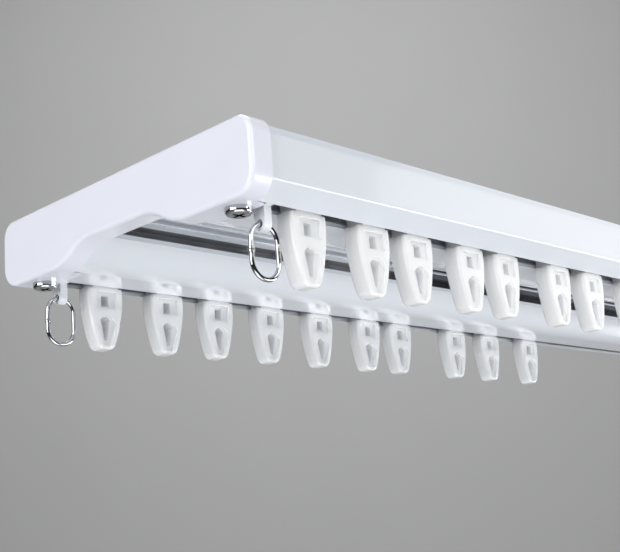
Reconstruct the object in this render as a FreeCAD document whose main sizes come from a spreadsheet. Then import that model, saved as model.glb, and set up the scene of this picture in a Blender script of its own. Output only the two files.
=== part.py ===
import FreeCAD, Part
import os

# Double ceiling curtain track.
# One aluminium extrusion carries two slotted channels side by side.
# A moulded cap closes each end, and its underside plate reaches a little way below the channels.
# A pan-head screw under each foot of a cap bites into the plug that the cap pushes into the channel.
# Beside each screw a small end stop hangs a lug through the slot, and an oval wire ring hangs in its eye.
# Ten leaf-shaped gliders ride on the lips of each channel.
# X runs along the track, Y across it and Z up. The origin is the middle of the ceiling face.
# Heights called "rise" are measured up from the underside of the lips.

from FreeCAD import Placement, Rotation, Vector

doc = FreeCAD.newDocument("CurtainTrack")
os.makedirs("parts", exist_ok=True)

# Sizes
# Every size has a name in this table, in millimetres.
SIZES = [
    ("TrackLength", 600.0, "overall length, over both end caps"),
    ("CapWidth", 111.0, "overall width, over an end cap"),
    ("CapHeight", 19.3, "from the underside of the lips to the ceiling"),
    ("CapInset", 1.5, "how far the extrusion stands in from the side of the cap"),
    ("WallSkin", 1.3, "upright walls of the extrusion"),
    ("FloorSkin", 1.2, "floors and roofs of the extrusion"),
    ("RoofRise", 15.4, "top of the channels above the lips"),
    ("BevelWidth", 6.1, "sloping underside from the side to the slot"),
    ("BevelRise", 3.8, "height of that slope"),
    ("SlotWidth", 6.4, "running slot of each channel"),
    ("SeatRise", 2.8, "running seat of the gliders above the underside"),
    ("SeatFlat", 2.6, "flat of the outer seat beside the slot"),
    ("InnerSlopeRise", 4.7, "where the inner slope meets the side wall"),
    ("ChannelHalf", 7.6, "half of the clear width of a channel"),
    ("BeadGap", 0.6, "from the slot to the inner running bead"),
    ("BeadWidth", 1.6, "inner running bead"),
    ("FlankRise", 6.5, "how far the underside climbs towards the middle groove"),
    ("LipReach", 2.3, "lip of the middle groove, out from the level part of the arch"),
    ("LipSkin", 1.4, "thickness of that lip"),
    ("UndercutHeight", 3.1, "undercut of the middle groove above its lip"),
    ("UndercutDepth", 4.3, "depth of that undercut"),
    ("RidgeOut", 2.6, "ridge on the groove's roof, in from the groove's wall"),
    ("RidgeWidth", 1.4, "width of the ridge"),
    ("RidgeHeight", 0.8, "height of the ridge"),
    ("LedgeRise", 12.4, "small ledge along the groove's wall"),
    ("LedgeOut", 0.7, "how far the ledge stands out"),
    ("LedgeHeight", 0.8, "height of the ledge"),
    ("SpineWidth", 7.0, "hollow spine along the middle of the top"),
    ("ClipInner", 17.9, "from the side to the inner clip rib"),
    ("ClipOuter", 4.0, "from the side to the outer clip rib"),
    ("ClipSkin", 1.2, "thickness of the clip ribs and their lips"),
    ("ClipLip", 1.8, "overhang of the clip lips"),
    ("ProfileCornerRound", 0.9, "rounding between the side and the sloping underside"),
    ("CapWall", 2.4, "end wall of a cap"),
    ("CapWrap", 6.6, "depth of the cap along its sides"),
    ("CapReach", 10.2, "depth of the cap along its underside"),
    ("FootSkin", 0.8, "thickness of the cap below the lips"),
    ("CapTopRound", 5.0, "upper corners of the cap, seen from the end"),
    ("CapFootRound", 6.0, "lower corners of the cap, seen from the end"),
    ("CapEdgeRound", 1.1, "soft edge around the face of the cap"),
    ("ArchRise", 4.6, "roof of the arch in the lower edge of the cap"),
    ("ArchFootIn", 25.5, "from the side of the cap to where the arch begins"),
    ("ArchRamp", 19.1, "from there to the level part of its roof"),
    ("CapFit", 0.15, "gap between cap and extrusion"),
    ("CapTopRim", 3.6, "top rim of the cap, in from its side"),
    ("PlugWidth", 11.0, "plug of the cap inside a channel"),
    ("PlugHeight", 6.0, "height of that plug"),
    ("PlugReach", 9.0, "how far the plug reaches from the face of the cap"),
    ("ScrewAlong", 6.4, "screw from the face of the cap"),
    ("ScrewOffset", 1.7, "screw from the middle of the slot, inwards"),
    ("ScrewHeadWidth", 7.0, "head diameter of a screw"),
    ("ScrewHeadHeight", 1.9, "head height of a screw"),
    ("ScrewHeadRound", 0.9, "rounded edge of the screw head"),
    ("ScrewShank", 2.2, "shank diameter of a screw"),
    ("ScrewDepth", 9.4, "shank length of a screw"),
    ("ScrewHoleGap", 0.15, "gap around the shank in the foot of the cap"),
    ("ScrewCrossWidth", 0.9, "width of the cross recess"),
    ("ScrewCrossLength", 3.8, "length of the cross recess"),
    ("ScrewCrossDepth", 0.9, "depth of the cross recess"),
    ("StopAlong", 12.6, "end stop from the face of the cap"),
    ("StopHeadLength", 4.6, "end stop head along the track"),
    ("StopHeadWidth", 10.2, "end stop head across the channel"),
    ("StopHeadHeight", 2.4, "end stop head height"),
    ("StopNeckWidth", 5.8, "end stop neck in the slot"),
    ("LugThick", 2.4, "lug along the track"),
    ("LugWidth", 3.8, "lug across the track"),
    ("LugDrop", 4.4, "eye of the lug below the lips"),
    ("LugEye", 2.2, "diameter of the eye"),
    ("RingWidth", 10.2, "wire ring, outside width"),
    ("RingHeight", 15.2, "wire ring, outside height"),
    ("RingWire", 1.3, "wire diameter"),
    ("RingSplit", 0.3, "gap where the ends of the wire meet"),
    ("RingCollarWidth", 1.8, "flared ends of the wire at the split"),
    ("RingCollarLength", 1.1, "length of both flared ends"),
    ("GliderWidth", 12.6, "leaf width at the top"),
    ("GliderMidWidth", 10.6, "leaf width at mid height"),
    ("GliderFootWidth", 5.6, "leaf width at the foot"),
    ("GliderMidDrop", 11.0, "mid height of the leaf below the lips"),
    ("GliderDrop", 19.2, "foot of the leaf below the lips"),
    ("GliderSideRound", 34.0, "gentle swell of the leaf sides"),
    ("GliderFootRound", 2.6, "rounding of the foot"),
    ("GliderThick", 5.6, "leaf thickness"),
    ("GliderTopGap", 0.3, "gap between the leaf and the lips"),
    ("GliderRide", 0.15, "gap between the head and the seats"),
    ("GliderHeadLength", 10.0, "head along the track"),
    ("GliderHeadWidth", 10.2, "head across the channel"),
    ("GliderHeadHeight", 1.8, "head height"),
    ("GliderCrownLength", 7.0, "crown on the head along the track"),
    ("GliderCrownWidth", 4.4, "crown across the channel"),
    ("GliderCrownHeight", 2.0, "crown height"),
    ("GliderNeckLength", 9.0, "neck along the track"),
    ("GliderEdgeRound", 0.9, "softened edges of the leaf"),
    ("GliderRim", 2.0, "width of the rim at the leaf sides"),
    ("GliderRecess", 0.8, "depth of the recess in each face"),
    ("WindowWidth", 2.8, "upper window"),
    ("WindowTop", 2.6, "top of the window below the lips"),
    ("WindowFoot", 6.0, "foot of the window below the lips"),
    ("UpperPocketTop", 1.5, "top of the upper recess below the lips"),
    ("UpperPocketFoot", 6.6, "foot of the upper recess below the lips"),
    ("UpperPocketWidth", 7.6, "width of the upper recess"),
    ("LowerPocketTop", 7.8, "top of the lower recess below the lips"),
    ("LowerPocketFoot", 17.3, "foot of the lower recess below the lips"),
    ("LowerPocketTopWidth", 7.2, "width of the lower recess at its top"),
    ("LowerPocketFootWidth", 3.2, "width of the lower recess at its foot"),
    ("BowShare", 1.05, "radius of the rounded ends of recess and eye, as a share of half their width"),
    ("EyeWidth", 3.5, "eye of the glider"),
    ("EyeTop", 8.6, "top of the eye below the lips"),
    ("EyeFoot", 16.6, "foot of the eye below the lips"),
    ("EyeFootWidth", 1.2, "width of the eye at its foot"),
]

# Positions of the gliders, from the face of the left end cap.
FRONT_GLIDERS = [26.0, 50.5, 69.0, 93.3, 111.5, 140.7, 161.5, 189.0, 217.0, 243.0]
BACK_GLIDERS = [27.0, 50.9, 72.4, 96.3, 121.2, 147.5, 166.4, 202.1, 226.2, 256.0]
for count, place in enumerate(FRONT_GLIDERS, 1):
    SIZES.append((f"FrontGliderAt{count}x", place, f"front glider {count} from the left cap face"))
for count, place in enumerate(BACK_GLIDERS, 1):
    SIZES.append((f"BackGliderAt{count}x", place, f"back glider {count} from the left cap face"))

sheet = doc.addObject("Spreadsheet::Sheet", "Size")
for row, (name, value, meaning) in enumerate(SIZES, 1):
    sheet.set(f"A{row}", name)
    sheet.set(f"B{row}", str(value))
    sheet.set(f"C{row}", meaning)
    sheet.setAlias(f"B{row}", name)
doc.recompute()


class Dim:
    """A size with its value and the words that compute it from the table."""

    def __init__(self, text, value):
        self.text = text
        self.value = value

    def __add__(self, other):
        other = dim(other)
        return Dim(f"({self.text} + {other.text})", self.value + other.value)

    def __sub__(self, other):
        other = dim(other)
        return Dim(f"({self.text} - {other.text})", self.value - other.value)

    def __mul__(self, other):
        other = dim(other)
        return Dim(f"({self.text} * {other.text})", self.value * other.value)

    def __truediv__(self, other):
        other = dim(other)
        return Dim(f"({self.text} / {other.text})", self.value / other.value)

    def __neg__(self):
        return Dim(f"(0 - {self.text})", -self.value)

    def __radd__(self, other):
        return dim(other) + self

    def __rsub__(self, other):
        return dim(other) - self

    def __rmul__(self, other):
        return dim(other) * self


def dim(thing):
    """A plain number becomes a size too."""
    return thing if isinstance(thing, Dim) else Dim(repr(float(thing)), float(thing))


S = {name: Dim(f"Size.{name}", value) for name, value, meaning in SIZES}


def bind(thing, prop, size):
    """Ties one property of an object to the table."""
    thing.setExpression(prop, dim(size).text)


def place(thing, x=0, y=0, z=0, turn=0.0):
    """Stands an object at a point, turned about the upright axis by whole degrees."""
    thing.Placement = Placement(
        Vector(dim(x).value, dim(y).value, dim(z).value), Rotation(Vector(0, 0, 1), turn)
    )
    for axis, size in zip("xyz", (x, y, z)):
        bind(thing, f".Placement.Base.{axis}", size)


def new_body(label):
    body = doc.addObject("PartDesign::Body", label)
    body.Label = label
    return body


def new_sketch(body, name, role):
    """A sketch on one of the body's own origin planes, such as YZ_Plane."""
    sketch = body.newObject("Sketcher::SketchObject", name)
    plane = [p for p in body.Origin.OriginFeatures if p.Role == role][0]
    sketch.AttachmentSupport = (plane, [""])
    sketch.MapMode = "FlatFace"
    return sketch


def loop(sketch, corners, bows=None):
    """Draws a closed outline through named corners.

    Each corner is a pair of sizes. bows maps an edge's number to a radius and a side,
    where side +1 puts the centre to the left of the way from the edge's start to its end.
    """
    bows = bows or {}
    first = sketch.GeometryCount
    points = [Vector(dim(a).value, dim(b).value, 0) for a, b in corners]
    total = len(points)
    ends = []
    for i, start in enumerate(points):
        finish = points[(i + 1) % total]
        if i in bows:
            radius, side = bows[i]
            chord = finish - start
            middle = start + chord * 0.5
            reach = max(dim(radius).value ** 2 - chord.Length ** 2 / 4.0, 0.0) ** 0.5
            left = Vector(-chord.y, chord.x, 0).normalize()
            centre = middle + left * (reach * side)
            bulge = middle - left * ((dim(radius).value - reach) * side)
            sketch.addGeometry(Part.Arc(start, bulge, finish), False)
            ends.append((1, 2) if side > 0 else (2, 1))
        else:
            sketch.addGeometry(Part.LineSegment(start, finish), False)
            ends.append((1, 2))
    import Sketcher

    for i in range(total):
        after = (i + 1) % total
        sketch.addConstraint(
            Sketcher.Constraint("Coincident", first + i, ends[i][1], first + after, ends[after][0])
        )
    for i, (a, b) in enumerate(corners):
        for kind, size in (("DistanceX", a), ("DistanceY", b)):
            number = sketch.addConstraint(
                Sketcher.Constraint(kind, -1, 1, first + i, ends[i][0], dim(size).value)
            )
            bind(sketch, f"Constraints[{number}]", size)
    for i, (radius, side) in bows.items():
        number = sketch.addConstraint(Sketcher.Constraint("Radius", first + i, dim(radius).value))
        bind(sketch, f"Constraints[{number}]", radius)


def mirrored(half):
    """Completes a half outline, listed from the foot of the middle line to its top."""
    return half + [(-a, b) for a, b in reversed(half)]


def block(name, x0, x1, y0, y1, z0, z1):
    """A plain block between six sizes."""
    box = doc.addObject("Part::Box", name)
    bind(box, "Length", dim(x1) - x0)
    bind(box, "Width", dim(y1) - y0)
    bind(box, "Height", dim(z1) - z0)
    place(box, x0, y0, z0)
    return box


def rod(name, radius, length, x, y, z, axis=(0, 0, 1)):
    """A round rod from a point along an axis."""
    bar = doc.addObject("Part::Cylinder", name)
    bind(bar, "Radius", radius)
    bind(bar, "Height", length)
    place(bar, x, y, z)
    bar.Placement = Placement(bar.Placement.Base, Rotation(Vector(0, 0, 1), Vector(*axis)))
    return bar


def union(name, shapes):
    joined = doc.addObject("Part::MultiFuse", name)
    joined.Shapes = shapes
    joined.Refine = True
    return joined


def minus(name, base, tool):
    rest = doc.addObject("Part::Cut", name)
    rest.Base = base
    rest.Tool = tool
    rest.Refine = True
    return rest


def copy_of(form, label, x, y, z, turn=0.0):
    """One more of a form, stood at its own place; it follows every change of the form."""
    node = doc.addObject("Part::Compound", label)
    node.Links = [form]
    node.Label = label
    place(node, x, y, z, turn)
    return node


def edges_where(shape, test):
    """Names of the edges whose bounding box passes a test."""
    return [f"Edge{i}" for i, edge in enumerate(shape.Edges, 1) if test(edge.BoundBox)]


def near(a, b):
    return abs(a - b) < 0.02


NODES = {}

# Heights and half widths
# Rises are counted from the lips, and Z from the ceiling, so a rise becomes Z less the cap height.
def up(rise):
    return dim(rise) - S["CapHeight"]


side = S["CapWidth"] / 2 - S["CapInset"]
slot_out = side - S["BevelWidth"]
slot_in = slot_out - S["SlotWidth"]
slot_mid = slot_out - S["SlotWidth"] / 2
channel_out = slot_mid + S["ChannelHalf"]
channel_in = slot_mid - S["ChannelHalf"]
chamber_out = channel_in - S["WallSkin"]
half_cap = S["CapWidth"] / 2
arch_foot = half_cap - S["ArchFootIn"]
arch_flat = arch_foot - S["ArchRamp"]
ramp = S["ArchRamp"] / 2
ramp_mid = arch_foot - ramp
groove = arch_flat + S["LipReach"]
undercut = groove + S["UndercutDepth"]
flank_climb = S["FlankRise"] / 2
flank_round = (ramp * ramp + flank_climb * flank_climb) / S["FlankRise"]
lip_rise = S["FlankRise"] - S["LipReach"] * S["LipReach"] / (flank_round * 2)
roof = up(S["RoofRise"])
ceiling = up(S["RoofRise"] - S["FloorSkin"])
floor = up(S["FloorSkin"])
lips = up(0)
seat = up(S["SeatRise"])
lip_top = up(lip_rise + S["LipSkin"])
undercut_top = lip_top + S["UndercutHeight"]
half_spine = S["SpineWidth"] / 2
ridge_out = groove - S["RidgeOut"]
ridge_low = ceiling - S["RidgeHeight"]
bead_out = slot_in - S["BeadGap"]
bead_in = bead_out - S["BeadWidth"]
clip_out = side - S["ClipOuter"]
clip_in = side - S["ClipInner"]
clip_lip_low = dim(0) - S["ClipSkin"]
profile_half = S["TrackLength"] / 2 - S["CapWall"]

# The extrusion
# One closed outline follows the whole section, and three more cut its closed hollows.
track = new_body("track_profile")
section = new_sketch(track, "TrackSection", "YZ_Plane")
half = [
    (ridge_out - S["RidgeWidth"], ceiling),
    (ridge_out - S["RidgeWidth"], ridge_low),
    (ridge_out, ridge_low),
    (ridge_out, ceiling),
    (groove, ceiling),
    (groove, up(S["LedgeRise"] + S["LedgeHeight"])),
    (groove - S["LedgeOut"], up(S["LedgeRise"] + S["LedgeHeight"])),
    (groove - S["LedgeOut"], up(S["LedgeRise"])),
    (groove, up(S["LedgeRise"])),
    (groove, undercut_top),
    (undercut, undercut_top),
    (undercut, lip_top),
    (groove, lip_top),
    (groove, up(lip_rise)),
    (ramp_mid, up(flank_climb)),
    (arch_foot, lips),
    (slot_in, lips),
    (slot_in, floor),
    (bead_out, floor),
    (bead_out, seat),
    (bead_in, seat),
    (bead_in, floor),
    (channel_in, floor),
    (channel_in, ceiling),
    (channel_out, ceiling),
    (channel_out, up(S["InnerSlopeRise"])),
    (slot_out + S["SeatFlat"], seat),
    (slot_out, seat),
    (slot_out, lips),
    (side, up(S["BevelRise"])),
    (side, roof),
    (clip_out, roof),
    (clip_out, dim(0)),
    (clip_out - S["ClipSkin"] - S["ClipLip"], dim(0)),
    (clip_out - S["ClipSkin"] - S["ClipLip"], clip_lip_low),
    (clip_out - S["ClipSkin"], clip_lip_low),
    (clip_out - S["ClipSkin"], roof),
    (clip_in + S["ClipSkin"], roof),
    (clip_in + S["ClipSkin"], clip_lip_low),
    (clip_in + S["ClipSkin"] + S["ClipLip"], clip_lip_low),
    (clip_in + S["ClipSkin"] + S["ClipLip"], dim(0)),
    (clip_in, dim(0)),
    (clip_in, roof),
    (half_spine, roof),
    (half_spine, dim(0)),
]
# The two curved edges of the climbing underside, and their mirror images
lip_edge = 13
foot_edge = lip_edge + 1
back_lip_edge = 2 * len(half) - 2 - lip_edge
back_foot_edge = 2 * len(half) - 2 - foot_edge
loop(
    section,
    mirrored(half),
    {
        lip_edge: (flank_round, -1),
        foot_edge: (flank_round, 1),
        back_lip_edge: (flank_round, -1),
        back_foot_edge: (flank_round, 1),
    },
)
skin = S["FloorSkin"]
for sign in (1, -1):
    loop(
        section,
        [
            (chamber_out * sign, floor),
            (chamber_out * sign, ceiling),
            ((groove + skin) * sign, ceiling),
            ((groove + skin) * sign, undercut_top + skin),
            ((undercut + skin) * sign, undercut_top + skin),
            ((undercut + skin) * sign, up(flank_climb + skin * 2.4)),
            (ramp_mid * sign, up(flank_climb + skin * 1.5)),
            ((ramp_mid + ramp / 2) * sign, up(flank_climb / 4 + skin * 1.2)),
            (arch_foot * sign, floor),
        ],
    )
loop(
    section,
    [
        (half_spine - skin, roof),
        (half_spine - skin, dim(0) - skin),
        (skin - half_spine, dim(0) - skin),
        (skin - half_spine, roof),
    ],
)
pad = track.newObject("PartDesign::Pad", "TrackPad")
pad.Profile = section
pad.Midplane = True
bind(pad, "Length", profile_half * 2)
doc.recompute()
track_round = track.newObject("PartDesign::Fillet", "TrackCornerRound")
track_round.Base = (
    pad,
    edges_where(
        pad.Shape,
        lambda b: b.XLength > profile_half.value
        and near(abs(b.YMin), side.value)
        and near(b.ZMin, up(S["BevelRise"]).value)
        and near(b.ZMax, b.ZMin),
    ),
)
bind(track_round, "Radius", S["ProfileCornerRound"])
doc.recompute()
NODES["track_profile"] = track

# An end cap
# The cap is drawn with its face at X = 0 and its depth towards +X.
foot = up(dim(0) - S["FootSkin"])
arch = up(S["ArchRise"])
climb = (arch - foot) / 2
screw_across = slot_mid - S["ScrewOffset"]
ramp_round = (ramp * ramp + climb * climb) / (climb * 2)


def build_cap(label):
    cap = new_body(label)
    outline = new_sketch(cap, label + "_outline", "YZ_Plane")
    right = [
        (arch_flat, arch),
        (ramp_mid, foot + climb),
        (arch_foot, foot),
        (half_cap - S["CapFootRound"], foot),
        (half_cap, foot + S["CapFootRound"]),
        (half_cap, dim(0) - S["CapTopRound"]),
        (half_cap - S["CapTopRound"], dim(0)),
    ]
    last = 2 * len(right) - 2
    bows = {
        0: (ramp_round, -1),
        1: (ramp_round, 1),
        3: (S["CapFootRound"], 1),
        5: (S["CapTopRound"], 1),
        last - 0: (ramp_round, -1),
        last - 1: (ramp_round, 1),
        last - 3: (S["CapFootRound"], 1),
        last - 5: (S["CapTopRound"], 1),
    }
    loop(outline, mirrored(right), bows)
    body_pad = cap.newObject("PartDesign::Pad", label + "_pad")
    body_pad.Profile = outline
    bind(body_pad, "Length", S["CapReach"])
    doc.recompute()

    # The face keeps a soft edge all round.
    edge_round = cap.newObject("PartDesign::Fillet", label + "_edge_round")
    edge_round.Base = (
        body_pad,
        edges_where(body_pad.Shape, lambda b: near(b.XMin, 0) and near(b.XMax, 0)),
    )
    bind(edge_round, "Radius", S["CapEdgeRound"])
    doc.recompute()

    # Beyond the wrap only the two foot plates go on.
    trim = new_sketch(cap, label + "_trim", "YZ_Plane")
    trim.AttachmentOffset = Placement(Vector(0, 0, S["CapWrap"].value), Rotation())
    bind(trim, ".AttachmentOffset.Base.z", S["CapWrap"])
    over = dim(2)
    loop(
        trim,
        [
            (half_cap + over, foot - over),
            (half_cap + over, over),
            (-half_cap - over, over),
            (-half_cap - over, foot - over),
            (-slot_out, foot - over),
            (-slot_out, lips),
            (-arch_foot, lips),
            (-arch_foot, foot - over),
            (arch_foot, foot - over),
            (arch_foot, lips),
            (slot_out, lips),
            (slot_out, foot - over),
        ],
    )
    trimming = cap.newObject("PartDesign::Pocket", label + "_trimming")
    trimming.Profile = trim
    trimming.Type = 0
    trimming.Reversed = True
    bind(trimming, "Length", S["CapReach"])
    doc.recompute()

    # The hollow behind the end wall takes the end of the extrusion.
    inner = new_sketch(cap, label + "_inner", "YZ_Plane")
    inner.AttachmentOffset = Placement(Vector(0, 0, S["CapWall"].value), Rotation())
    bind(inner, ".AttachmentOffset.Base.z", S["CapWall"])
    fit = S["CapFit"]
    hollow = [
        (arch_flat, up(S["FlankRise"]) - fit),
        (ramp_mid, up(flank_climb) - fit),
        (arch_foot, lips - fit),
        (slot_out, lips - fit),
        (side + fit, up(S["BevelRise"]) - fit),
        (side + fit, roof + fit),
        (half_cap - S["CapTopRim"], roof + fit),
        (half_cap - S["CapTopRim"], over),
    ]
    last = 2 * len(hollow) - 2
    loop(
        inner,
        mirrored(hollow),
        {
            0: (flank_round, -1),
            1: (flank_round, 1),
            last: (flank_round, -1),
            last - 1: (flank_round, 1),
        },
    )
    hollowing = cap.newObject("PartDesign::Pocket", label + "_hollowing")
    hollowing.Profile = inner
    hollowing.Type = 0
    hollowing.Reversed = True
    bind(hollowing, "Length", S["CapReach"])
    doc.recompute()

    # A plug goes into each channel and stands on its seats.
    plugs = new_sketch(cap, label + "_plugs", "YZ_Plane")
    plugs.AttachmentOffset = Placement(Vector(0, 0, S["CapWall"].value), Rotation())
    bind(plugs, ".AttachmentOffset.Base.z", S["CapWall"])
    for sign in (1, -1):
        loop(
            plugs,
            [
                ((slot_mid - S["PlugWidth"] / 2) * sign, seat + fit),
                ((slot_mid + S["PlugWidth"] / 2) * sign, seat + fit),
                ((slot_mid + S["PlugWidth"] / 2) * sign, seat + fit + S["PlugHeight"]),
                ((slot_mid - S["PlugWidth"] / 2) * sign, seat + fit + S["PlugHeight"]),
            ],
        )
    plug_pad = cap.newObject("PartDesign::Pad", label + "_plug_pad")
    plug_pad.Profile = plugs
    bind(plug_pad, "Length", S["PlugReach"] - S["CapWall"])
    doc.recompute()

    # A clearance hole in each foot lets a screw through, and the plug holds its thread.
    holes = new_sketch(cap, label + "_holes", "XY_Plane")
    holes.AttachmentOffset = Placement(Vector(0, 0, foot.value), Rotation())
    bind(holes, ".AttachmentOffset.Base.z", foot)
    import Sketcher

    for sign in (1, -1):
        where = holes.addGeometry(
            Part.Circle(
                Vector(S["ScrewAlong"].value, sign * screw_across.value, 0), Vector(0, 0, 1), 1.2
            ),
            False,
        )
        for kind, size in (("DistanceX", S["ScrewAlong"]), ("DistanceY", screw_across * sign)):
            number = holes.addConstraint(Sketcher.Constraint(kind, -1, 1, where, 3, dim(size).value))
            bind(holes, f"Constraints[{number}]", size)
        number = holes.addConstraint(Sketcher.Constraint("Radius", where, 1.2))
        bind(holes, f"Constraints[{number}]", S["ScrewShank"] / 2 + S["ScrewHoleGap"])
    drilling = cap.newObject("PartDesign::Pocket", label + "_drilling")
    drilling.Profile = holes
    drilling.Type = 0
    drilling.Reversed = True
    bind(drilling, "Length", S["ScrewDepth"] + S["FootSkin"])
    doc.recompute()
    return cap


cap_form = build_cap("cap_form")
NODES["end_cap_left"] = copy_of(cap_form, "end_cap_left", -S["TrackLength"] / 2, 0, 0)
NODES["end_cap_right"] = copy_of(cap_form, "end_cap_right", S["TrackLength"] / 2, 0, 0, 180.0)

# Screws
# All four are alike, so they are one group. The head sits flat against the foot of the cap.
head = rod("screw_head", S["ScrewHeadWidth"] / 2, S["ScrewHeadHeight"], 0, 0, -S["ScrewHeadHeight"])
doc.recompute()
dome = doc.addObject("Part::Fillet", "screw_dome")
dome.Base = head
head_low = -S["ScrewHeadHeight"].value
dome.Edges = [
    (i, S["ScrewHeadRound"].value, S["ScrewHeadRound"].value)
    for i, edge in enumerate(head.Shape.Edges, 1)
    if near(edge.BoundBox.ZMin, head_low) and near(edge.BoundBox.ZMax, head_low)
]
shank = rod("screw_shank", S["ScrewShank"] / 2, S["ScrewDepth"], 0, 0, 0)
recess_low = -S["ScrewHeadHeight"] - 1
recess_top = -S["ScrewHeadHeight"] + S["ScrewCrossDepth"]
long = S["ScrewCrossLength"] / 2
short = S["ScrewCrossWidth"] / 2
recess = union(
    "screw_cross",
    [
        block("screw_cross_long", -long, long, -short, short, recess_low, recess_top),
        block("screw_cross_wide", -short, short, -long, long, recess_low, recess_top),
    ],
)
screw_form = minus("screw_form", union("screw_whole", [dome, shank]), recess)
ends = [
    (end, row, (S["TrackLength"] / 2) * end_sign, end_sign, row_sign)
    for end, end_sign in (("left", -1), ("right", 1))
    for row, row_sign in (("front", -1), ("back", 1))
]
screws = [
    copy_of(
        screw_form,
        f"screw_{end}_{row}",
        face - S["ScrewAlong"] * end_sign,
        screw_across * row_sign,
        foot,
    )
    for end, row, face, end_sign, row_sign in ends
]
group = doc.addObject("Part::Compound", "end_cap_screws")
group.Links = screws
group.Label = "end_cap_screws"
NODES["end_cap_screws"] = group

# End stops
# A head sits on the seats of the channel, a neck fills the slot and a lug with an eye hangs below.
half_lug = S["LugThick"] / 2
half_head = S["StopHeadLength"] / 2
half_wide = S["StopHeadWidth"] / 2
half_neck = S["StopNeckWidth"] / 2
half_side = S["LugWidth"] / 2
drop = -S["LugDrop"]
head_top = S["SeatRise"] + S["StopHeadHeight"]
neck_top = S["SeatRise"] + S["StopHeadHeight"] / 2
stop_solid = union(
    "stop_solid",
    [
        block("stop_head", -half_head, half_head, -half_wide, half_wide, S["SeatRise"], head_top),
        block("stop_neck", -half_lug, half_lug, -half_neck, half_neck, dim(0), neck_top),
        block("stop_lug", -half_lug, half_lug, -half_side, half_side, drop, dim(0)),
        rod("stop_tip", half_side, S["LugThick"], -half_lug, 0, drop, (1, 0, 0)),
    ],
)
stop_eye = rod("stop_eye", S["LugEye"] / 2, S["LugThick"] * 3, -half_lug * 3, 0, drop, (1, 0, 0))
stop_form = minus("stop_form", stop_solid, stop_eye)

# Wire rings
# A ring is drawn upright with its top wire centred on the eye that carries it.
bend = (S["RingWidth"] - S["RingWire"]) / 2
straight = S["RingHeight"] - S["RingWidth"]
wire = S["RingWire"] / 2
pieces = []
for name, low, turn in (("top", -bend, 0.0), ("foot", -bend - straight, 180.0)):
    arc = doc.addObject("Part::Torus", f"ring_{name}")
    bind(arc, "Radius1", bend)
    bind(arc, "Radius2", wire)
    arc.Angle3 = 180.0
    place(arc, 0, 0, low)
    upright = Rotation(Vector(1, 0, 0), 90).multiply(Rotation(Vector(0, 0, 1), turn))
    arc.Placement = Placement(arc.Placement.Base, upright)
    pieces.append(arc)
middle = -bend - straight / 2
collar = S["RingCollarLength"] / 2
pieces.append(rod("ring_long_side", wire, straight, bend, 0, -bend - straight))
pieces.append(rod("ring_split_side", wire, straight, -bend, 0, -bend - straight))
pieces.append(rod("ring_collar", S["RingCollarWidth"] / 2, S["RingCollarLength"], -bend, 0, middle - collar))
split = block(
    "ring_split",
    -bend - wire * 2,
    -bend + wire * 2,
    -wire * 2,
    wire * 2,
    middle - S["RingSplit"] / 2,
    middle + S["RingSplit"] / 2,
)
ring_form = minus("ring_form", union("ring_wire", pieces), split)

for end, row, face, end_sign, row_sign in ends:
    along = face - S["StopAlong"] * end_sign
    tag = f"end_stop_{end}_{row}"
    NODES[tag] = copy_of(stop_form, tag, along, slot_mid * row_sign, lips)
    tag = f"ring_{end}_{row}"
    turned = 0.0 if end_sign < 0 else 180.0
    NODES[tag] = copy_of(ring_form, tag, along, slot_mid * row_sign, lips + drop, turned)

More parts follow.
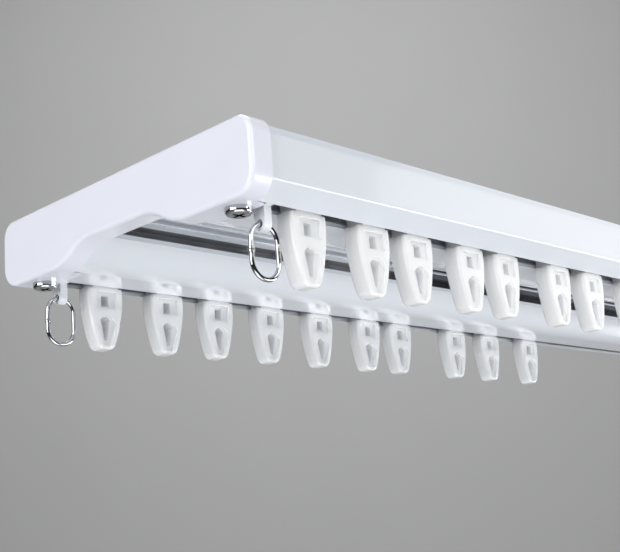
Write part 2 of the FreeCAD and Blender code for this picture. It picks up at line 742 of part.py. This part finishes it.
# Gliders
# A glider is drawn around its own axis with the underside of the lips at Z = 0.
def build_glider(label):
    glider = new_body(label)
    leaf = new_sketch(glider, label + "_leaf", "XZ_Plane")
    half_foot = S["GliderFootWidth"] / 2
    right = [
        (half_foot - S["GliderFootRound"] / 2, -S["GliderDrop"]),
        (half_foot + S["GliderFootRound"] / 4, -S["GliderDrop"] + S["GliderFootRound"] * 0.7),
        (S["GliderMidWidth"] / 2, -S["GliderMidDrop"]),
        (S["GliderWidth"] / 2, -S["GliderTopGap"]),
        (S["GliderNeckLength"] / 2, -S["GliderTopGap"]),
        (S["GliderNeckLength"] / 2, S["SeatRise"] + S["GliderRide"] * 2),
    ]
    last = 2 * len(right) - 2
    bows = {
        0: (S["GliderFootRound"], 1),
        1: (S["GliderSideRound"], 1),
        2: (S["GliderSideRound"], 1),
        last: (S["GliderFootRound"], 1),
        last - 1: (S["GliderSideRound"], 1),
        last - 2: (S["GliderSideRound"], 1),
    }
    loop(leaf, mirrored(right), bows)
    leaf_pad = glider.newObject("PartDesign::Pad", label + "_leaf_pad")
    leaf_pad.Profile = leaf
    leaf_pad.Midplane = True
    bind(leaf_pad, "Length", S["GliderThick"])
    doc.recompute()
    low = -S["GliderTopGap"].value - 0.05
    before = leaf_pad
    for name, way in (("front", -1), ("rear", 1)):
        face_at = way * S["GliderThick"].value / 2
        soft = glider.newObject("PartDesign::Fillet", f"{label}_soft_{name}")
        soft.Base = (
            before,
            edges_where(
                before.Shape, lambda b: b.ZMin < low and near(b.YMin, face_at) and near(b.YMax, face_at)
            ),
        )
        bind(soft, "Radius", S["GliderEdgeRound"])
        doc.recompute()
        before = soft

    # The head and its crown, inside the channel
    for name, size_x, size_y, low_z, high in (
        (
            "head",
            S["GliderHeadLength"] / 2,
            S["GliderHeadWidth"] / 2,
            S["SeatRise"] + S["GliderRide"],
            S["GliderHeadHeight"],
        ),
        (
            "crown",
            S["GliderCrownLength"] / 2,
            S["GliderCrownWidth"] / 2,
            S["SeatRise"] + S["GliderRide"] + S["GliderHeadHeight"],
            S["GliderCrownHeight"],
        ),
    ):
        flat = new_sketch(glider, f"{label}_{name}", "XY_Plane")
        flat.AttachmentOffset = Placement(Vector(0, 0, low_z.value), Rotation())
        bind(flat, ".AttachmentOffset.Base.z", low_z)
        loop(flat, [(-size_x, -size_y), (size_x, -size_y), (size_x, size_y), (-size_x, size_y)])
        step = glider.newObject("PartDesign::Pad", f"{label}_{name}_pad")
        step.Profile = flat
        bind(step, "Length", high)
        doc.recompute()

    # Recesses in both faces leave a rim down the sides and a bar across
    upper = [
        (-S["UpperPocketWidth"] / 2, -S["UpperPocketFoot"]),
        (S["UpperPocketWidth"] / 2, -S["UpperPocketFoot"]),
        (S["UpperPocketWidth"] / 2, -S["UpperPocketTop"]),
        (-S["UpperPocketWidth"] / 2, -S["UpperPocketTop"]),
    ]
    lower_top = S["LowerPocketTopWidth"] / 2
    lower_foot = S["LowerPocketFootWidth"] / 2
    lower = [
        (-lower_foot, -S["LowerPocketFoot"]),
        (lower_foot, -S["LowerPocketFoot"]),
        (lower_top, -S["LowerPocketTop"] - lower_top),
        (-lower_top, -S["LowerPocketTop"] - lower_top),
    ]
    depth = S["GliderThick"] / 2 - S["GliderRecess"]
    for name, way in (("front", 1), ("rear", -1)):
        face = new_sketch(glider, f"{label}_{name}", "XZ_Plane")
        face.AttachmentOffset = Placement(Vector(0, 0, way * depth.value), Rotation())
        bind(face, ".AttachmentOffset.Base.z", depth * way)
        loop(face, upper)
        loop(face, lower, {0: (lower_foot * S["BowShare"], 1), 2: (lower_top * S["BowShare"], 1)})
        cut = glider.newObject("PartDesign::Pocket", f"{label}_{name}_cut")
        cut.Profile = face
        cut.Type = 0
        cut.Reversed = way > 0
        bind(cut, "Length", S["GliderThick"])
        doc.recompute()

    # The window and the eye go right through
    through = new_sketch(glider, label + "_openings", "XZ_Plane")
    loop(
        through,
        [
            (-S["WindowWidth"] / 2, -S["WindowFoot"]),
            (S["WindowWidth"] / 2, -S["WindowFoot"]),
            (S["WindowWidth"] / 2, -S["WindowTop"]),
            (-S["WindowWidth"] / 2, -S["WindowTop"]),
        ],
    )
    eye = S["EyeWidth"] / 2
    eye_foot = S["EyeFootWidth"] / 2
    loop(
        through,
        [
            (-eye_foot, -S["EyeFoot"] + eye_foot),
            (eye_foot, -S["EyeFoot"] + eye_foot),
            (eye, -S["EyeTop"] - eye),
            (-eye, -S["EyeTop"] - eye),
        ],
        {0: (eye_foot * S["BowShare"], 1), 2: (eye * S["BowShare"], 1)},
    )
    opening = glider.newObject("PartDesign::Pocket", label + "_through")
    opening.Profile = through
    opening.Type = 0
    opening.Midplane = True
    bind(opening, "Length", S["GliderThick"] * 2)
    doc.recompute()
    return glider


glider_form = build_glider("glider_form")
for row, row_sign, places in (("front", -1, FRONT_GLIDERS), ("back", 1, BACK_GLIDERS)):
    for count in range(1, len(places) + 1):
        tag = f"glider_{row}_{count:02d}"
        where = S[f"{row.capitalize()}GliderAt{count}x"] - S["TrackLength"] / 2
        NODES[tag] = copy_of(glider_form, tag, where, slot_mid * row_sign, lips)

doc.recompute()
for thing in doc.Objects:
    if "Invalid" in thing.State or "Error" in thing.State:
        raise RuntimeError(f"{thing.Label} did not compute: {thing.State}")
for name, thing in NODES.items():
    if thing.Shape.isNull() or not thing.Shape.isValid() or thing.Shape.Volume <= 0:
        raise RuntimeError(f"{name} has no sound shape")
    thing.Shape.exportStep(f"parts/{name}.step")
print(len(NODES), "nodes")
for name in ("track_profile", "end_cap_left", "end_cap_screws", "end_stop_left_front", "ring_left_front", "glider_front_01"):
    shape = NODES[name].Shape
    box = shape.BoundBox
    print(
        name,
        f"{shape.Volume:.1f} mm3, X {box.XMin:.2f} {box.XMax:.2f}",
        f"Y {box.YMin:.2f} {box.YMax:.2f} Z {box.ZMin:.2f} {box.ZMax:.2f}",
        f"solids {len(shape.Solids)}",
    )
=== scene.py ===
# %% [markdown]
# # A double ceiling curtain track
# This script dresses a packed curtain track for a photograph taken from below its left end.
# The solids already have the right shapes and places, so all of the work is in the finishes:
# white powder coat on the aluminium, smooth white mouldings, milky gliders and bright chrome.
# The first cell loads the solids and defines a helper that measures a solid's outer box.

# %% Load the solids
import math

import bpy
import numpy as np
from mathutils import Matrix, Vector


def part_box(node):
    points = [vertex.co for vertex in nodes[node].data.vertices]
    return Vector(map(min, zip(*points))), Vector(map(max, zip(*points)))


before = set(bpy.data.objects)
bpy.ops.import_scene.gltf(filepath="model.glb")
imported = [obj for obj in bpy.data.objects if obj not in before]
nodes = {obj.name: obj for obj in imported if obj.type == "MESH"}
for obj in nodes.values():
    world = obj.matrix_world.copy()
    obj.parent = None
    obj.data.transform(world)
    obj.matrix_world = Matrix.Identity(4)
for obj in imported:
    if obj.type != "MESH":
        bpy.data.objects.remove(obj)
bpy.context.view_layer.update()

MM = 0.001

# %% [markdown]
# ## The camera
# The photograph looks up at the left end of the track, from in front and from below.
# Its place was worked out from the edges of the end cap and the profile, which meet at right angles.
# The lens is long, so the track narrows only gently towards the far end.
# The picture is shown with the plain Standard curve, because the usual one turns bright whites grey.

# %% Camera
lens_mm, sensor_mm, nearest_seen = 64.16, 36.0, 0.01
camera_place = (-0.46638, -0.23193, -0.09893)
camera_turn = (1.80454, 0.07541, -0.78504)

camera_data = bpy.data.cameras.new("photo_camera")
camera_data.lens = lens_mm
camera_data.sensor_width = sensor_mm
camera_data.clip_start = nearest_seen
camera = bpy.data.objects.new("photo_camera", camera_data)
camera.location = camera_place
camera.rotation_euler = camera_turn
bpy.context.scene.collection.objects.link(camera)
bpy.context.scene.camera = camera
bpy.context.scene.view_settings.view_transform = "Standard"
print("camera at", tuple(round(v, 3) for v in camera.location))

# %% [markdown]
# ## Making meshes with numpy
# A surface is a grid of points worked out at once as whole arrays.
# One helper turns such a grid into a mesh, whose faces are quads between neighbouring rows and columns.
# The solids bring the whole track with them, so only the studio's sheet is made this way.


# %% Grid to mesh
def grid_faces(rows, columns):
    """Quads of a rows by columns grid: a corner's number is its row * columns + its column."""
    r, c = np.meshgrid(np.arange(rows - 1), np.arange(columns - 1), indexing="ij")
    corner = r * columns + c
    quads = np.stack([corner, corner + 1, corner + columns + 1, corner + columns], axis=-1)
    return quads.reshape(-1, 4)


def make_mesh(name, points, faces):
    """A smooth mesh object from an array of points and an array of faces."""
    mesh = bpy.data.meshes.new(name)
    mesh.from_pydata(points.reshape(-1, 3).tolist(), [], faces.tolist())
    mesh.polygons.foreach_set("use_smooth", np.full(len(mesh.polygons), True))
    mesh.update()
    obj = bpy.data.objects.new(name, mesh)
    bpy.context.scene.collection.objects.link(obj)
    return obj


print("a grid of 3 by 4 points has", len(grid_faces(3, 4)), "faces")

# %% [markdown]
# ## The studio
# A studio sweep is one sheet that is floor below and wall behind, with a large curve between them,
# so no edge shows behind the object. It isn't part of the object.
# The camera looks along the diagonal between X and Y, so the sheet is turned by an eighth of a circle to face it.

# %% Studio sweep
sheet_half_width, sheet_front, sheet_top = 7.0, -6.0, 4.5
floor_height, wall_distance, bend_radius = -1.75, 3.4, 1.2
width_points, bend_points = 5, 24
eighth_turn = math.pi / 4


def sweep_points():
    """Profile: level floor, a quarter circle of bend_radius, then an upright wall, carried along X."""
    turn = np.linspace(0.0, math.pi / 2, bend_points)
    y = np.r_[sheet_front, wall_distance - bend_radius + bend_radius * np.sin(turn), wall_distance]
    z = np.r_[floor_height, floor_height + bend_radius - bend_radius * np.cos(turn), sheet_top]
    x = np.linspace(-sheet_half_width, sheet_half_width, width_points)
    gx, gy = np.meshgrid(x, y, indexing="ij")
    gz = np.broadcast_to(z, gx.shape)
    return np.stack([gx, gy, gz], axis=-1)


def turn_about_z(points, angle):
    """Turns points about the upright axis: x takes cos of x less sin of y, y takes sin of x and cos of y."""
    c, s = math.cos(angle), math.sin(angle)
    x = points[..., 0] * c - points[..., 1] * s
    y = points[..., 0] * s + points[..., 1] * c
    return np.stack([x, y, points[..., 2]], axis=-1)


sheet = turn_about_z(sweep_points(), -eighth_turn)
sweep = make_mesh("studio_sweep", sheet, grid_faces(*sheet.shape[:2]))
print("sweep has", len(sweep.data.polygons), "faces")

# %% [markdown]
# ## Studio light
# Large lights give the soft reflections that white gloss needs, because a glossy surface shows the lights' shapes.
# One stands on the left and lights the face of the end cap, and one in front and above lights the long side.
# One at the right is mirrored in the long side and makes it brighter towards the far end.
# One low down throws light up to the underside, as a pale table would.
# A narrow one below on the right draws a bright line along the corner between the side and the sloping underside.
# One beyond the far end shines along the groove, and a small one near the far half brightens the slope there.
# The last one lights the sheet behind. The air itself gives only a faint glow.


# %% Lights
def area_light(name, place, aim, size, watts, tint=(1.0, 1.0, 1.0)):
    """A soft light of some width and height in metres at a place, turned so that it shines at aim."""
    data = bpy.data.lights.new(name, "AREA")
    data.shape = "RECTANGLE"
    data.size, data.size_y = size
    data.energy = watts
    data.color = tint
    lamp = bpy.data.objects.new(name, data)
    lamp.location = place
    way = np.array(aim) - np.array(place)
    flat = math.hypot(way[0], way[1])
    lamp.rotation_euler = (math.atan2(flat, -way[2]), 0.0, math.atan2(-way[0], way[1]))
    bpy.context.scene.collection.objects.link(lamp)


left_tint, low_tint = (0.98, 0.98, 1.0), (0.97, 0.985, 1.0)
near_end, near_edge = (-0.2, 0.0, -0.02), (-0.2, -0.05, -0.02)
far_side, far_groove, far_edge = (0.1, 0.0, 0.0), (0.1, 0.0, -0.02), (0.1, -0.05, -0.02)
wall_spot = (2.2, 2.2, -0.6)

area_light("left_light", (-1.7, -0.1, 0.35), near_end, (1.4, 1.4), 23.5, left_tint)
area_light("front_light", (-0.1, -1.9, 1.1), near_end, (2.2, 1.2), 27.5)
area_light("right_light", (2.5, -1.2, 0.55), far_side, (1.8, 0.9), 6.0)
area_light("low_light", (-0.6, -0.5, -1.45), near_end, (1.6, 1.6), 17.5, low_tint)
area_light("edge_light", (1.45, -1.3, -0.5), near_edge, (1.3, 0.2), 4.5)
area_light("far_light", (1.3, -0.25, -0.55), far_groove, (1.0, 0.4), 5.0)
area_light("slope_light", (0.2, -0.45, -0.25), far_edge, (0.4, 0.25), 1.0)
area_light("wall_light", (0.6, 0.6, 2.2), wall_spot, (2.0, 2.0), 64.0)

air_colour, air_strength = (0.62, 0.63, 0.65, 1.0), 0.05
world = bpy.data.worlds.new("studio_air")
world.use_nodes = True
world.node_tree.nodes["Background"].inputs["Color"].default_value = air_colour
world.node_tree.nodes["Background"].inputs["Strength"].default_value = air_strength
bpy.context.scene.world = world

# %% [markdown]
# ## Materials as expressions
# A material is a small program made of nodes. Writing it as Python expressions keeps it readable:
# the class below wraps a socket, so that a * 0.5 + b adds the Math nodes that work it out.


# %% Sums of sockets
class Wire:
    """A socket whose arithmetic builds Math nodes."""

    def __init__(self, paint, socket):
        self.paint = paint
        self.socket = socket

    def _math(self, operation, a, b):
        return self.paint.node("ShaderNodeMath", {"operation": operation}, {0: a, 1: b})

    def __add__(self, other):
        return self._math("ADD", self, other)

    def __radd__(self, other):
        return self._math("ADD", other, self)

    def __sub__(self, other):
        return self._math("SUBTRACT", self, other)

    def __rsub__(self, other):
        return self._math("SUBTRACT", other, self)

    def __mul__(self, other):
        return self._math("MULTIPLY", self, other)

    def __rmul__(self, other):
        return self._math("MULTIPLY", other, self)

    def __abs__(self):
        return self.paint.node("ShaderNodeMath", {"operation": "ABSOLUTE"}, {0: self})


print("sockets can be added, subtracted and multiplied, and have an absolute value")

# %% [markdown]
# One method makes any other node from its type, its settings and the values or links of its sockets.
# All patterns read the place on the object in metres, so they keep their real size and stay with a piece that moves.


# %% Paint
class Paint:
    """A material and the methods that add its nodes."""

    def __init__(self, name):
        self.material = bpy.data.materials.new(name)
        self.material.use_nodes = True
        self.tree = self.material.node_tree
        self.shader = self.tree.nodes["Principled BSDF"]
        self.place = self.node("ShaderNodeTexCoord", out="Object")
        self.x, self.y, self.z = (
            self.node("ShaderNodeSeparateXYZ", None, {0: self.place}, axis) for axis in range(3)
        )

    def node(self, kind, settings=None, inputs=None, out=0):
        """Adds a node, sets it up, fills its sockets with values or links, and returns one output."""
        made = self.tree.nodes.new(kind)
        for name, value in (settings or {}).items():
            if name == "stops":
                for element, (position, colour) in zip(made.color_ramp.elements, value):
                    element.position, element.color = position, colour
            else:
                setattr(made, name, value)
        for key, value in (inputs or {}).items():
            self.feed(made.inputs[key], value)
        return Wire(self, made.outputs[out])

    def feed(self, socket, value):
        """Links a worked-out value to a socket, or sets a plain one on it."""
        if isinstance(value, Wire):
            self.tree.links.new(value.socket, socket)
        else:
            socket.default_value = value

    def set(self, **sockets):
        """Feeds the shader's sockets; a name's underscores stand for its spaces."""
        for name, value in sockets.items():
            self.feed(self.shader.inputs[name.replace("_", " ")], value)

    def noise(self, scale, detail, stretch=(1.0, 1.0, 1.0)):
        """Cloudy variation from 0 to 1. Scale counts per metre, and a small stretch draws it out along an axis."""
        where = self.node(
            "ShaderNodeMapping", {"vector_type": "POINT"}, {"Vector": self.place, "Scale": stretch}
        )
        return self.node("ShaderNodeTexNoise", None, {"Vector": where, "Scale": scale, "Detail": detail})

    def blend(self, share, first, second):
        """Mixes two colours by a share."""
        stops = [(0.0, (*first, 1.0)), (1.0, (*second, 1.0))]
        return self.node("ShaderNodeValToRGB", {"stops": stops}, {"Fac": share})

    def over(self, value, start, soft):
        """0 below start, 1 above it, with a smooth step of width soft between."""
        ends = {0: value, 1: start - soft / 2, 2: start + soft / 2}
        return self.node("ShaderNodeMapRange", {"interpolation_type": "SMOOTHSTEP"}, ends)

    def between(self, value, low, high, soft):
        """1 between two values and 0 outside them: over the low one, and not over the high one."""
        return self.over(value, low, soft) * (1.0 - self.over(value, high, soft))

    def cover(self, share, first, second):
        """Covers one worked-out colour with another by a share."""
        return self.node("ShaderNodeMix", {"data_type": "RGBA"}, {0: share, 6: first, 7: second}, 2)

    def bump(self, height, depth):
        """A normal from a height of 0 to 1 that stands for depth metres."""
        return self.node(
            "ShaderNodeBump", None, {"Height": height, "Strength": 1.0, "Distance": depth}, "Normal"
        )


print("paint methods:", [name for name in vars(Paint) if not name.startswith("_")])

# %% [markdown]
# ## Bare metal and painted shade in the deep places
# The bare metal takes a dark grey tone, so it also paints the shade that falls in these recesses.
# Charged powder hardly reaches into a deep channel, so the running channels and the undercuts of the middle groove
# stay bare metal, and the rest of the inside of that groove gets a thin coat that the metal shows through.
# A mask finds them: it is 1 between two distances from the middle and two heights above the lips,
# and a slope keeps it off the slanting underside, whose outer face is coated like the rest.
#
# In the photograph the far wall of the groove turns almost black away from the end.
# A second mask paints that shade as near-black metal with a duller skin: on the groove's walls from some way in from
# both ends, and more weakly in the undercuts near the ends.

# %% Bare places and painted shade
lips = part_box("track_profile")[0][2]
track_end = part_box("track_profile")[1][0]
hair = 0.1 * MM
channel_span, channel_rise = (37.0 * MM, 52.4 * MM), (1.15 * MM, 13.5 * MM)
channel_soft, slope_soft = 5 * hair, 2 * hair
slope_start, slope_rise = 47.9 * MM, 0.623
groove_half, groove_rise = 17.8 * MM, (7.6 * MM, 15.0 * MM)
wall_start, undercut_start = 12.9 * MM, 13.5 * MM
inner_start, inner_fade = 130.0 * MM, 45.0 * MM
groove_bare_and_shaded, undercut_bare_and_shaded, undercut_shade = 0.35, 0.65, 0.4
drift_grain, drift_width, drawn_out = 420.0, 0.8 * MM, (0.2, 1.0, 1.0)


def bare_and_shaded_places(coat):
    """How bare the metal is, whose dark grey also paints shade, from the distance to the middle and the height above
    the lips, and how much painted shade darkens the groove, which also needs the distance inwards from the nearer
    end."""
    across = abs(coat.y)
    rise = coat.z - lips
    drift = (coat.noise(drift_grain, 2.0, drawn_out) - 0.5) * drift_width
    above_slope = rise - (across - slope_start) * slope_rise
    channel = coat.between(across, *channel_span, hair) * coat.between(rise + drift, *channel_rise, channel_soft)
    channel = channel * coat.over(above_slope, channel_soft, slope_soft)
    groove = coat.between(across, -hair, groove_half, hair) * coat.between(rise, *groove_rise, hair)
    undercut = groove * coat.over(across, undercut_start, hair)
    inward = track_end - abs(coat.x)
    inner = coat.over(inward, inner_start, inner_fade)
    wall = groove * coat.over(across, wall_start, hair)
    # Painted shade: near-black on the groove's walls away from the ends, and weaker in the undercuts near the ends.
    painted_shade = wall * inner + undercut * (1.0 - inner) * undercut_shade
    return channel + groove * groove_bare_and_shaded + undercut * undercut_bare_and_shaded, painted_shade


print("lips at", round(lips / MM, 2), "mm, track ends at", round(track_end / MM, 1), "mm")

# %% [markdown]
# ## White powder coat
# Powder coat melts into an even gloss skin with a faint ripple like the peel of an orange.
# The metal under it was pushed through a die, so very fine lines run along the track.
# A ripple of a few hundredths of a millimetre and a slow change of roughness are enough.

# %% Powder coat
white_tones = (0.76, 0.80, 0.86), (0.80, 0.835, 0.89)
# The dark grey bare metal also paints the shade in the deep places.
shaded_metal_tones = (0.30, 0.315, 0.34), (0.44, 0.455, 0.48)
# Near-black tones that paint the shade on the groove's walls and in its undercuts.
painted_shade_tones = (0.05, 0.055, 0.065), (0.09, 0.095, 0.11)
peel_grain, die_grain, cloud_grain = 900.0, 1500.0, 14.0
along_die, along_cloud = (0.004, 1.0, 1.0), (0.3, 1.0, 1.0)
peel_share, die_share, ripple = 0.7, 0.3, 0.02 * MM
skin_rough, cloud_rough, bare_rough, dull_rough = 0.14, 0.08, 0.22, 0.3
bare_metallic, skin_gloss, gloss_lost, gloss_rough = 0.8, 0.8, 0.7, 0.04


def powder_coat():
    """Gloss white skin over drawn metal, bare in the deep places, with painted shade there and on the groove's
    walls.
    """
    coat = Paint("white_powder_coat")
    peel = coat.noise(peel_grain, 2.0)
    lines = coat.noise(die_grain, 1.0, along_die)
    cloud = coat.noise(cloud_grain, 3.0, along_cloud)
    bare_and_shaded, painted_shade = bare_and_shaded_places(coat)
    # Painted shade: the dark grey metal covers the deep places.
    coated = coat.cover(bare_and_shaded, coat.blend(cloud, *white_tones), coat.blend(lines, *shaded_metal_tones))
    coat.set(
        # Painted shade: the near-black tones cover the groove's walls and undercuts.
        Base_Color=coat.cover(painted_shade, coated, coat.blend(lines, *painted_shade_tones)),
        Metallic=bare_and_shaded * (1.0 - painted_shade) * bare_metallic,
        Roughness=skin_rough + cloud * cloud_rough + bare_and_shaded * bare_rough + painted_shade * dull_rough,
        Normal=coat.bump(peel * peel_share + lines * die_share, ripple),
        Coat_Weight=skin_gloss - painted_shade * gloss_lost,
        Coat_Roughness=gloss_rough,
    )
    return coat.material


finishes = {"track_profile": powder_coat()}
print("powder coat:", len(finishes["track_profile"].node_tree.nodes), "nodes")

# %% [markdown]
# ## Mouldings
# Moulded plastic shows a fine even grain and slow clouds.
# The gliders are milky: light sinks in under their skin and softens the shadows in their recesses.
# A glider's mould opens across the track, so a hair-thin raised line runs round the middle of its edge,
# where its two halves met. The middle of the slot comes from the box of one glider.

# %% Moulded plastic
cap_tones = (0.80, 0.815, 0.90), (0.84, 0.85, 0.93)
stop_tones = (0.82, 0.84, 0.88), (0.86, 0.88, 0.91)
glider_tones = (0.905, 0.93, 0.955), (0.94, 0.965, 0.985)
cap_rough, stop_rough, glider_rough, cloud_more_rough = 0.18, 0.25, 0.20, 0.12
plain_grain, glider_grain = 0.015 * MM, 0.02 * MM
plain_gloss, glider_gloss, film_rough = 0.2, 0.6, 0.06
glider_milky, milky_depth, milky_spread = 0.9, 5.0 * MM, (1.0, 1.0, 1.0)
fine_grain, slow_cloud = 2600.0, 60.0
grain_share, cloud_share, seam_height, seam_shade = 0.6, 0.4, 2.0, 0.5


def moulded(name, tones, rough, grain=plain_grain, milky=0.0, gloss=plain_gloss, parting=None):
    """Moulded plastic; parting is how far from the middle of the track its mould's halves met."""
    plastic = Paint(name)
    grains = plastic.noise(fine_grain, 2.0)
    cloud = plastic.noise(slow_cloud, 3.0)
    height = grains * grain_share + cloud * cloud_share
    shade = cloud
    if parting:
        seam = plastic.between(abs(plastic.y), parting - hair, parting + hair, hair)
        height = height + seam * seam_height
        shade = cloud - seam * seam_shade
    plastic.set(
        Base_Color=plastic.blend(shade, *tones),
        Roughness=rough + cloud * cloud_more_rough,
        Normal=plastic.bump(height, grain),
        Coat_Weight=gloss,
        Coat_Roughness=film_rough,
        Subsurface_Weight=milky,
        Subsurface_Radius=milky_spread,
        Subsurface_Scale=milky_depth,
    )
    return plastic.material


glider_low, glider_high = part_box("glider_back_01")
slot_middle = (glider_low[1] + glider_high[1]) / 2
finishes["end_cap"] = moulded("white_cap_moulding", cap_tones, cap_rough)
finishes["end_stop"] = moulded("white_stop_moulding", stop_tones, stop_rough)
finishes["glider"] = moulded(
    "milky_glider_moulding", glider_tones, glider_rough, glider_grain, glider_milky, glider_gloss, slot_middle
)
print("slot middle at", round(slot_middle / MM, 2), "mm, finishes so far:", sorted(finishes))

# %% [markdown]
# ## Chrome
# Bright plating is nearly a mirror. Faint wipe marks change its roughness a little.
# A screw's head was turned on a lathe before it was plated, so its face keeps fine rings about the screw's axis.
# All four screws stand at the same distances from the middle, so one pattern of rings serves them all:
# the height is the sine of the distance from the axis. The axes come from the outer box of the screws,
# which ends half a head beyond them.

# %% Chrome
chrome_tones = (0.52, 0.53, 0.55), (0.64, 0.65, 0.67)
wipe_grain, mirror_rough, wipe_rough = 500.0, 0.03, 0.06
ring_pitch, ring_share, plating_depth = 0.35 * MM, 0.3, 0.008 * MM
head_half = 3.5 * MM


def chrome(name, axis=None):
    """Bright plating; axis holds the distances of the turned pieces' axes from the middle of the track."""
    plate = Paint(name)
    wipes = plate.noise(wipe_grain, 3.0)
    height = wipes
    if axis:
        along, across = abs(plate.x) - axis[0], abs(plate.y) - axis[1]
        reach = plate.node("ShaderNodeMath", {"operation": "SQRT"}, {0: along * along + across * across})
        rings = plate.node("ShaderNodeMath", {"operation": "SINE"}, {0: reach * (math.tau / ring_pitch)})
        height = wipes + rings * ring_share
    plate.set(
        Base_Color=plate.blend(wipes, *chrome_tones),
        Metallic=1.0,
        Roughness=mirror_rough + wipes * wipe_rough,
        Normal=plate.bump(height, plating_depth),
    )
    return plate.material


screws_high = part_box("end_cap_screws")[1]
screw_axis = (screws_high[0] - head_half, screws_high[1] - head_half)
finishes["ring"] = chrome("bright_wire_chrome")
finishes["end_cap_screws"] = chrome("bright_screw_chrome", screw_axis)
print("screw axes at", [round(v / MM, 2) for v in screw_axis], "mm, finishes:", sorted(finishes))

# %% [markdown]
# ## Dressing the solids
# Each solid takes the finish of its kind. The names of the solids start with the kind,
# so the longest name in the list that a solid's name starts with decides.

# %% Dress
for name, solid in nodes.items():
    kind = max((k for k in finishes if name.startswith(k)), key=len)
    for slot in range(max(len(solid.material_slots), 1)):
        if solid.material_slots:
            solid.material_slots[slot].material = finishes[kind]
        else:
            solid.data.materials.append(finishes[kind])
print("dressed", len(nodes), "solids")

# %% [markdown]
# ## The ground
# The sheet behind is plain pale grey, as in the photograph. Broad faint clouds keep it from looking drawn.

# %% Studio ground
ground_tones = (0.475, 0.475, 0.475), (0.495, 0.495, 0.495)
ground_cloud, ground_rough = 3.0, 0.9

ground = Paint("pale_studio_ground")
speck = ground.noise(ground_cloud, 2.0)
ground.set(Base_Color=ground.blend(speck, *ground_tones), Roughness=ground_rough)
sweep.data.materials.append(ground.material)
print("ground painted:", sweep.name)

# %% [markdown]
# ## Sizes
# Nothing was added to the track, so its outer box stays the box of the solids.
